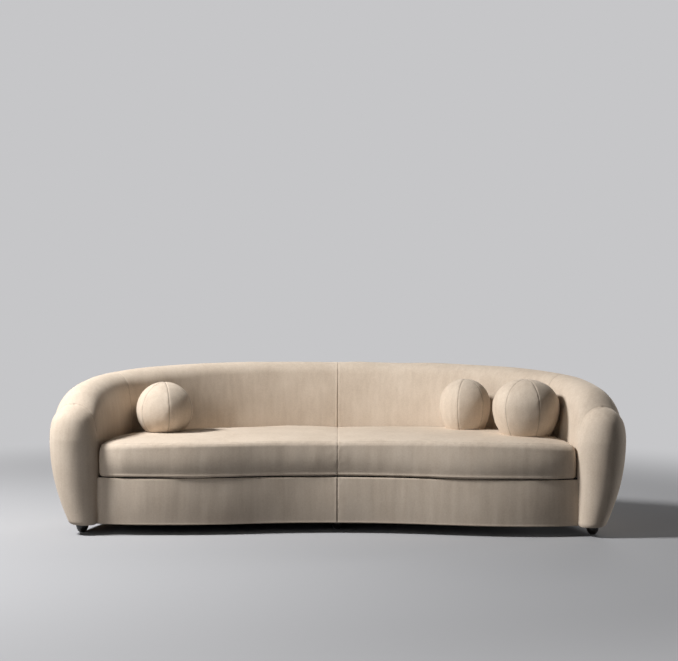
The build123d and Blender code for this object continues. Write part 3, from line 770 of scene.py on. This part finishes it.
def evened(moved, closed, passes):
    """Averages each point's movement with its neighbours', as thick leather over a soft filling
    evens out folds."""
    for _ in range(passes):
        for axis in (0, 1):
            ends = ([-1], [0]) if axis == closed else ([0], [-1])
            outer = [np.take(moved, end, axis) for end in ends]
            wide = np.concatenate([outer[0], moved, outer[1]], axis)
            count = moved.shape[axis]
            before, after = (np.take(wide, np.arange(count) + k, axis) for k in (0, 2))
            moved = (before + 2 * moved + after) / 4
    return moved


def loop_faces(rows, columns, closed):
    """Faces of a grid that closes on itself along one axis, with its two open ends filled."""
    index = np.arange(rows * columns).reshape(rows, columns)
    faces = grid_quads(np.concatenate([index, np.take(index, [0], closed)], closed)).tolist()
    if closed == 1:
        return faces + [index[0, :].tolist(), index[-1, ::-1].tolist()]
    return faces + [index[::-1, 0].tolist(), index[:, -1].tolist()]


def filled_piece(
    name, points, closed, held, pressure, cap, passes, nodes, finish, shade
):
    """A stuffed piece of leather that has the name of its body: its grid is blown up, then finish
    draws its seams in and painted shade darkens the colour along them."""
    rows, columns = points.shape[:2]
    faces = loop_faces(rows, columns, closed)
    piece = add_mesh(name, points.reshape(-1, 3).tolist(), faces, nubuck, name)
    moved = swollen(piece, held.reshape(-1), pressure, cap).reshape(points.shape)
    grown = points + evened(moved, closed, passes)
    shape = grown + grid_normals(grown, 1, (closed,)) * finish(grown)[..., None]
    piece.data.vertices.foreach_set("co", shape.astype(np.float32).ravel())
    piece.data.update()
    store_painted_seam_shade(piece, shade)
    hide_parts(*nodes)


# Seat cushion: one long bench with a crowned top, boxed front and a seam across its middle
seat_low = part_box("seat_cushion_cover")[0].z
seat_edge = 0.433
seat_back_edge = 0.445
seat_crown = 0.449
seat_crown_power = 4
seat_end_fall = 0.008
seat_end_power = 4
seat_right_rise = 0.008
seat_rise_power = 1.4
seat_dip = 0.006
seat_dip_part = 0.24
seat_half = 1.14
edge_round = 0.020
end_edge_round = 0.034
end_edge_power = 6
foot_round = 0.009
front_swell = 0.006
end_round = 0.024
end_lift = 0.60
seat_wave_height = 0.0012
seat_wave_length = 0.36
seat_streak_height = 0.00025
seat_streak_stretch = (1, 1, 4)
edge_seam = 0.6
# Darkness share of the painted shade along the front's top edge
edge_shade_share = 0.5
seam_hold = 0.5
rear_hold = 0.8
arc_points = 9
face_points = (12, 56, 8, 24)


def boxed_loop(span, low, front, rear, inset, edge):
    """Outline of a boxed cushion from its lower front edge up, back, down and forward again:
    distances from the front and heights. Towards an end it shrinks by inset, and edge is the
    radius of its upper edges."""
    foot = low + inset * end_lift + foot_round
    corners = [
        (inset + foot_round + front_swell, foot, foot_round, -90.0, -180.0),
        (inset + edge, front - inset - edge, edge, 180.0, 90.0),
        (span - inset - edge, rear - inset - edge, edge, 90.0, 0.0),
        (span - inset - foot_round, foot, foot_round, 0.0, -90.0),
    ]
    arcs = []
    for x, z, radius, begin, end in corners:
        angles = np.radians(np.linspace(begin, end, arc_points))
        arc = [x + radius * np.cos(angles), z + radius * np.sin(angles)]
        arcs.append(np.stack(arc, axis=1))
    loop = []
    for k, count in enumerate(face_points):
        begin, end = arcs[k][-1], arcs[(k + 1) % 4][0]
        share = np.linspace(0, 1, count + 2)[1:-1, None]
        line = begin + (end - begin) * share
        if k == 0:
            line[:, :1] -= front_swell * np.sin(math.pi * share)
        loop += [arcs[k], line]
    return np.concatenate(loop)


def seat_ends(part):
    """Front and rear points in plan of the cushion's section at a share of its half width."""
    out = -wall_half - seat_side_gap
    rear = plan_point(np.array(corner_run * part), out)
    tip = plan_point(np.array(arm_run), out)
    shoulder = plan_point(np.array(corner_run), out)
    x = tip[0] * part
    y = bowed_front(np.array(x), front_y - seat_overhang, seat_bow, seat_lobe, seat_end_radius)
    y = y + seat_corner_setback * max(1 - tip[0] * (1 - part) / seat_corner, 0.0) ** 2
    if part == 1.0:
        x = tip[0] + (tip[1] - y) * (shoulder[0] - tip[0]) / (tip[1] - shoulder[1])
    return np.array([x, y]), np.array(rear)


def seat_points(shares):
    """Closed grid of the seat cushion: columns from left to right, each a loop that begins in
    front."""
    columns = []
    for share in shares:
        part = abs(share)
        front, rear = seat_ends(part)
        span = np.linalg.norm(rear - front)
        fall = seat_end_fall * part**seat_end_power
        dip = seat_dip * (1 - math.sin(math.pi / 2 * min(part / seat_dip_part, 1.0)))
        from_end = min((1 - part) * seat_half, end_round)
        inset = end_round - math.sqrt(end_round**2 - (end_round - from_end) ** 2)
        edge = edge_round + (end_edge_round - edge_round) * part**end_edge_power
        if share > 0:
            fall = fall - seat_right_rise * math.sin(math.pi * part**seat_rise_power)
        rear_top = seat_back_edge - fall - dip
        loop = boxed_loop(span, seat_low, seat_edge - fall, rear_top, inset, edge)
        along = loop[:, 0] / span
        rise = np.clip((loop[:, 1] - seat_low) / (seat_edge - seat_low), 0, 1)
        arch = 4 * along * (1 - along) * (seat_crown - (seat_edge + seat_back_edge + dip) / 2)
        plan = front + (rear - front) * along[:, None]
        side = -1.0 if share < 0 else 1.0
        height = loop[:, 1] + arch * rise**seat_crown_power
        columns.append(np.column_stack([side * plan[:, 0], plan[:, 1], height]))
    return np.stack(columns)


half_shares = seam_spacing(seat_half)
seat_shares = np.concatenate([-half_shares[:0:-1], half_shares])
middle_column = len(half_shares) - 1
front_top_row = 2 * arc_points + face_points[0] - 2
front_low_row = arc_points // 2
rear_top_row = 2 * arc_points + face_points[0] + face_points[1] + arc_points // 2
bottom_row = 3 * arc_points + sum(face_points[:3])


def seat_seams(points):
    """Seams of the cushion: front edges above and below, the rear edge and the middle."""
    lift = seat_wave_height * waves(points, seat_wave_length, 60)
    lift = lift + seat_streak_height * waves(points, streak_length, 61, seat_streak_stretch)
    for row in (front_top_row, rear_top_row):
        distance = line_distance(points, 1, row)
        lift = lift + groove(distance) * edge_seam + lip(distance)
        lift = lift + puckers(points, distance, 62)
    lift = lift + welt(line_distance(points, 1, front_low_row))
    middle = line_distance(points, 0, middle_column)
    return lift + groove(middle) * middle_seam + puckers(points, middle, 63)


seat_grid = seat_points(seat_shares)
# The underside and the ends stay, the rear gives a little, the seams more, and the rest is free
seat_hold = np.zeros(seat_grid.shape[:2])
seat_hold[:, bottom_row:] = 1.0
seat_hold[:, rear_top_row:bottom_row] = rear_hold
seat_hold[[0, -1], :] = 1.0
seat_hold[middle_column, :] = seam_hold
seat_hold[:, [front_top_row, front_low_row]] = seam_hold
# Painted shade along the middle seam and along the front's top edge
seat_shade = middle_seam * painted_seam_shade(line_distance(seat_grid, 0, middle_column))
front_edge_shade = edge_shade_share * painted_seam_shade(line_distance(seat_grid, 1, front_top_row))
filled_piece(
    "seat_cushion",
    seat_grid,
    closed=1,
    held=seat_hold,
    pressure=3.0,
    cap=0.006,
    passes=36,
    nodes=("seat_cushion_cover", "seat_cushion_core"),
    finish=seat_seams,
    shade=np.maximum(seat_shade, front_edge_shade),
)

# Ball pillows: six gores each, drawn in along their seams, flat where they lie on the seat
gores = 6
gore_flatness = 0.30
gore_width = 0.150
gore_seam = 0.8
gore_hold = 0.85
ball_wave_height = 0.0008
ball_wave_length = 0.16
ball_ripple_height = 0.0002
ball_ripple_length = 0.05
flat_rows = 8
flat_span = (0.004, 0.94)
low_rows = 20
high_rows = 30
held_rows = 10
pole_radius = 0.0008
ball_turns = {"left_ball": 17.0, "small_right_ball": -21.0, "large_right_ball": -43.5}
# Radius at the widest, height above it, depth below it and radius of the flat
ball_sizes = {
    "left_ball": (0.144, 0.144, 0.102, 0.096),
    "small_right_ball": (0.133, 0.133, 0.127, 0.097),
    "large_right_ball": (0.165, 0.134, 0.142, 0.119),
}


def ball_profile(radius, above, below, flat):
    """Half outline of a ball from the middle of its flat, out, up and over to its top: radii and
    heights."""
    swell = ((radius - flat) ** 2 + below**2) / (2 * (radius - flat))
    turn = math.asin(below / swell)
    low_angle = np.linspace(-turn, 0, low_rows)
    high_angle = np.linspace(0, math.pi / 2, high_rows)[1:]
    radii = [
        np.linspace(*flat_span, flat_rows) * flat,
        radius - swell + swell * np.cos(low_angle),
        np.maximum(radius * np.cos(high_angle), pole_radius),
    ]
    heights = [np.full(flat_rows, -below), swell * np.sin(low_angle), above * np.sin(high_angle)]
    return np.concatenate(radii), np.concatenate(heights)


gore_turn = 2 * math.pi / gores
columns_per_gore = len(seam_spacing(gore_width)) - 1
gore_places = np.tile(seam_spacing(gore_width)[:-1] * gore_turn, gores)
gore_begins = np.repeat(np.arange(gores), columns_per_gore) * gore_turn
from_seam = np.minimum(gore_places, gore_turn - gore_places)
flat_side = math.cos(gore_turn / 2) / np.cos(gore_places - gore_turn / 2)
gore_shape = 1 - gore_flatness * (1 - flat_side)

for name, sizes in ball_sizes.items():
    low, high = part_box(name + "_cover")
    centre = (low + high) / 2
    radii, heights = ball_profile(*sizes)
    turns = math.radians(ball_turns[name]) + gore_places + gore_begins
    ball = np.stack(
        [
            centre.x + np.outer(np.sin(turns) * gore_shape, radii),
            centre.y - np.outer(np.cos(turns) * gore_shape, radii),
            np.broadcast_to(low.z + sizes[2] + heights, (len(turns), len(heights))),
        ],
        axis=2,
    )
    seam_gap = np.outer(from_seam, radii)

    def ball_seams(points, seam_gap=seam_gap):
        lift = ball_wave_height * waves(points, ball_wave_length, 70)
        lift = lift + ball_ripple_height * waves(points, ball_ripple_length, 71)
        return lift + groove(seam_gap) * gore_seam + puckers(points, seam_gap, 72)

    ball_hold = np.zeros(ball.shape[:2])
    ball_hold[from_seam == 0, :] = gore_hold
    ball_hold[:, :held_rows] = 1.0
    filled_piece(
        name,
        ball,
        closed=0,
        held=ball_hold,
        pressure=2.5,
        cap=0.002,
        passes=2,
        nodes=(name + "_cover", name + "_fill"),
        finish=ball_seams,
        # Painted shade along the seams between the gores
        shade=painted_seam_shade(seam_gap),
    )

# Deck under the cushion: platform cloth over its thin pad
deck_low, deck_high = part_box("deck_pad")
deck_inset = 0.016
deck_columns = 121
deck_rows = 60
deck_wave_height = 0.0004
deck_wave_length = 0.12
deck_drop = 0.0006


def deck_points():
    """Grid of the deck's top, from side to side and from front to back."""
    columns = []
    for share in np.linspace(-1, 1, deck_columns):
        front, rear = seat_ends(abs(share))
        side = -1.0 if share < 0 else 1.0
        middle = front_y + deck_inset
        edge = bowed_front(np.array(front[0]), middle, front_bow, front_lobe, front_end_radius)
        front = np.array([front[0], max(edge, front[1])])
        along = np.linspace(0, 1, deck_rows)[:, None]
        plan = front + (rear - front) * along
        height = np.full(deck_rows, deck_high.z)
        columns.append(np.column_stack([side * plan[:, 0], plan[:, 1], height]))
    return np.stack(columns)


deck = deck_points()
deck[..., 2] += deck_wave_height * waves(deck, deck_wave_length, 80) - deck_drop
deck_thickness = deck_high.z - deck_low.z
deck_pad = panel("deck_pad_cloth", deck, 1, platform_cloth, thickness=deck_thickness)
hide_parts("deck_pad")

# Stage: pale floor and backdrop, key light from the upper left, weak fill, low rim and wide rear
scene = bpy.context.scene
scene.view_settings.view_transform = "Standard"
backdrop = linear("#c6c6c8")
backdrop_begin = 2.2
backdrop_whole = 4.4


def seen_rays(material):
    """1 for rays from the camera, straight, mirrored or through glass, and 0 for the light that is
    thrown."""
    rays = add(material, "LightPath")
    either = {"operation": "MAXIMUM"}
    sources = {0: (rays, "Is Camera Ray"), 1: (rays, "Is Glossy Ray")}
    mirrored_too = add(material, "Math", either, sources)
    sources = {0: (mirrored_too, 0), 1: (rays, "Is Transmission Ray")}
    return add(material, "Math", either, sources)


def stage_floor():
    """Pale matte floor that takes the sofa's shadow and turns into the backdrop further away. The
    light that it throws back is that of a darker floor, as a large dim studio has."""
    material = new_material("pale_floor")
    place = add(material, "TexCoord")
    away = add(material, "VectorMath", {"operation": "LENGTH"}, {0: (place, "Object")})
    settings = {
        "From Min": backdrop_begin,
        "From Max": backdrop_whole,
        "interpolation_type": "SMOOTHSTEP",
    }
    fade = add(material, "MapRange", settings, {"Value": (away, "Value")})
    near = add(material, "BsdfDiffuse", {"Color": linear("#aaaaac")})
    far = add(material, "Emission", {"Color": backdrop})
    thrown = add(material, "BsdfDiffuse", {"Color": linear("#6a6a6c")})
    sources = {0: (fade, "Result"), 1: (near, "BSDF"), 2: (far, "Emission")}
    seen = add(material, "MixShader", {}, sources)
    sources = {0: (seen_rays(material), 0), 1: (thrown, "BSDF"), 2: (seen, "Shader")}
    mixed = add(material, "MixShader", {}, sources)
    add(material, "OutputMaterial", {}, {"Surface": (mixed, "Shader")})
    reach = 60.0
    corners = [(-reach, -reach, 0), (reach, -reach, 0), (reach, reach, 0), (-reach, reach, 0)]
    mesh = bpy.data.meshes.new("floor")
    mesh.from_pydata(corners, [], [(0, 1, 2, 3)])
    mesh.materials.append(material)
    floor = bpy.data.objects.new("floor", mesh)
    scene.collection.objects.link(floor)


def even_world():
    """Pale backdrop as the camera sees it, with a weak even light."""
    world = bpy.data.worlds.new("even_grey")
    world.use_nodes = True
    world.node_tree.nodes.clear()
    seen = add(world, "Background", {"Color": backdrop, "Strength": 1.0})
    thrown = add(world, "Background", {"Color": linear("#e4e6ea"), "Strength": 0.03})
    sources = {0: (seen_rays(world), 0), 1: (thrown, "Background"), 2: (seen, "Background")}
    mixed = add(world, "MixShader", {}, sources)
    add(world, "OutputWorld", {}, {"Surface": (mixed, "Shader")})
    scene.world = world


def soft_light(name, toward, distance, size, watts):
    """Round lamp that looks at the middle of the sofa from a direction."""
    aim = Vector((0.0, -0.1, 0.4))
    light = bpy.data.lights.new(name, "AREA")
    light.shape = "DISK"
    light.size = size
    light.energy = watts
    lamp = bpy.data.objects.new(name, light)
    lamp.location = aim + Vector(toward).normalized() * distance
    lamp.rotation_euler = Vector(toward).to_track_quat("Z", "Y").to_euler()
    scene.collection.objects.link(lamp)


stage_floor()
even_world()
soft_light("key", (-0.70, -0.22, 0.68), distance=6.0, size=1.2, watts=510)
soft_light("fill", (-0.60, -0.76, 0.26), distance=6.0, size=2.5, watts=45)
soft_light("rim", (0.93, 0.30, 0.045), distance=8.0, size=1.2, watts=150)
soft_light("rear", (0.40, 0.80, 0.42), distance=7.0, size=3.0, watts=120)

# Camera: almost level, in the sofa's middle plane, with its lens and shift in the photo's pixels
frame_width = 678
focal_pixels = 1407
shift_pixels = (0.5, -30.5)
camera_roll = math.radians(-0.27)
camera_data = bpy.data.cameras.new("camera")
camera_data.sensor_width = 36.0
camera_data.lens = focal_pixels / frame_width * camera_data.sensor_width
camera_data.shift_x = shift_pixels[0] / frame_width
camera_data.shift_y = shift_pixels[1] / frame_width
camera = bpy.data.objects.new("camera", camera_data)
camera.location = (0.0, -7.119, 1.111)
camera.rotation_euler = (math.radians(90), camera_roll, 0)
scene.collection.objects.link(camera)
scene.camera = camera
